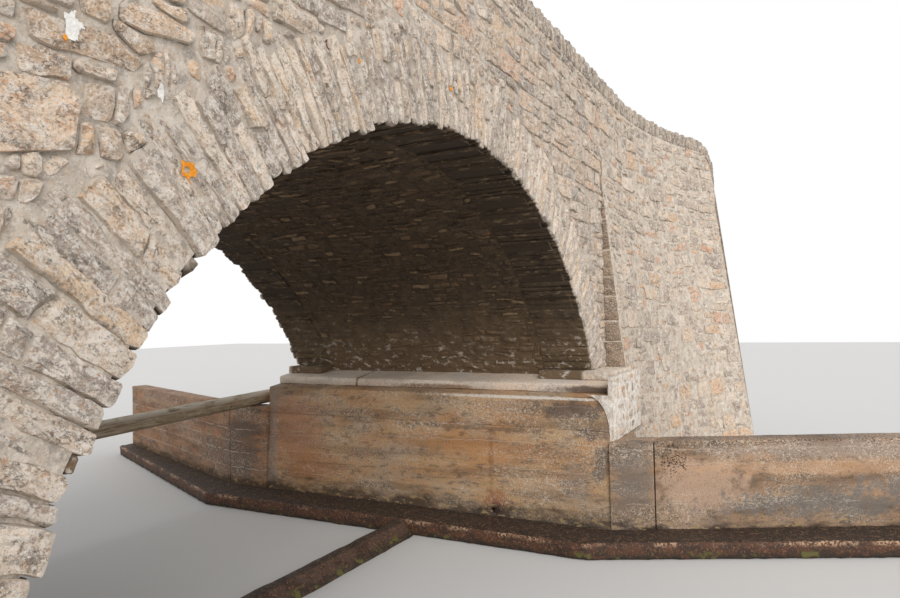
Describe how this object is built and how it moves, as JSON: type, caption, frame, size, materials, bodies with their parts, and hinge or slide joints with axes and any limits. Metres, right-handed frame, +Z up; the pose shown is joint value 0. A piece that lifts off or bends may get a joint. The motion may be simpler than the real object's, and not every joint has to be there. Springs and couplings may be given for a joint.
{
  "type": "stone arch road bridge",
  "caption": "Stone arch road bridge of rubble masonry with parapets, splayed wing walls, concrete abutments, channel walls, a low weir and a timber pole across the water.",
  "frame": {"origin": "centre of the plan at the lowest level, where the walls meet the channel bed", "axes": "+X along the road towards the right abutment, +Y across the road towards the far side, +Z up"},
  "size_m": [17.7, 14.5, 5.625],
  "materials": {
    "soffit_rubble": "rough, damp",
    "voussoir_stone": "rough, mortared",
    "granite_rubble": "rough, mortared",
    "coping_stone": "rough, weathered",
    "packed_fill": "rough",
    "road_surface": "rough",
    "abutment_concrete": "board-marked, stained",
    "pad_stone": "rough",
    "wall_concrete": "board-marked, weathered",
    "footing_concrete": "worn, wet",
    "weathered_timber": "weathered, bare",
    "rusted_pipe": "rusted"
  },
  "bodies": {
    "root": {"arch_barrel": "soffit_rubble", "arch_ring_near": "voussoir_stone", "arch_ring_far": "voussoir_stone", "spandrel_near": "granite_rubble", "spandrel_far": "granite_rubble", "parapet_near": "granite_rubble", "parapet_far": "granite_rubble", "wing_near_right": "granite_rubble", "wing_near_left": "granite_rubble", "wing_far_right": "granite_rubble", "wing_far_left": "granite_rubble", "coping_near": "coping_stone", "coping_far": "coping_stone", "wing_coping_near_right": "coping_stone", "wing_coping_near_left": "coping_stone", "wing_coping_far_right": "coping_stone", "wing_coping_far_left": "coping_stone", "rubble_fill": "packed_fill", "roadway": "road_surface", "abutment_lower_right": "abutment_concrete", "abutment_lower_left": "abutment_concrete", "abutment_upper_right": "abutment_concrete", "abutment_upper_left": "abutment_concrete", "springer_course_right": "abutment_concrete", "springer_course_left": "abutment_concrete", "pad_near_right": "pad_stone", "pad_near_left": "pad_stone", "pad_far_right": "pad_stone", "pad_far_left": "pad_stone", "return_near_right": "wall_concrete", "return_near_left": "wall_concrete", "channel_wall_near_right": "wall_concrete", "channel_wall_near_left": "wall_concrete", "return_far_right": "wall_concrete", "return_far_left": "wall_concrete", "channel_wall_far_right": "wall_concrete", "channel_wall_far_left": "wall_concrete", "footing_right": "footing_concrete", "footing_left": "footing_concrete", "weir_sill": "footing_concrete", "channel_pole": "weathered_timber", "drain_pipe": "rusted_pipe"}
  },
  "joints": []
}
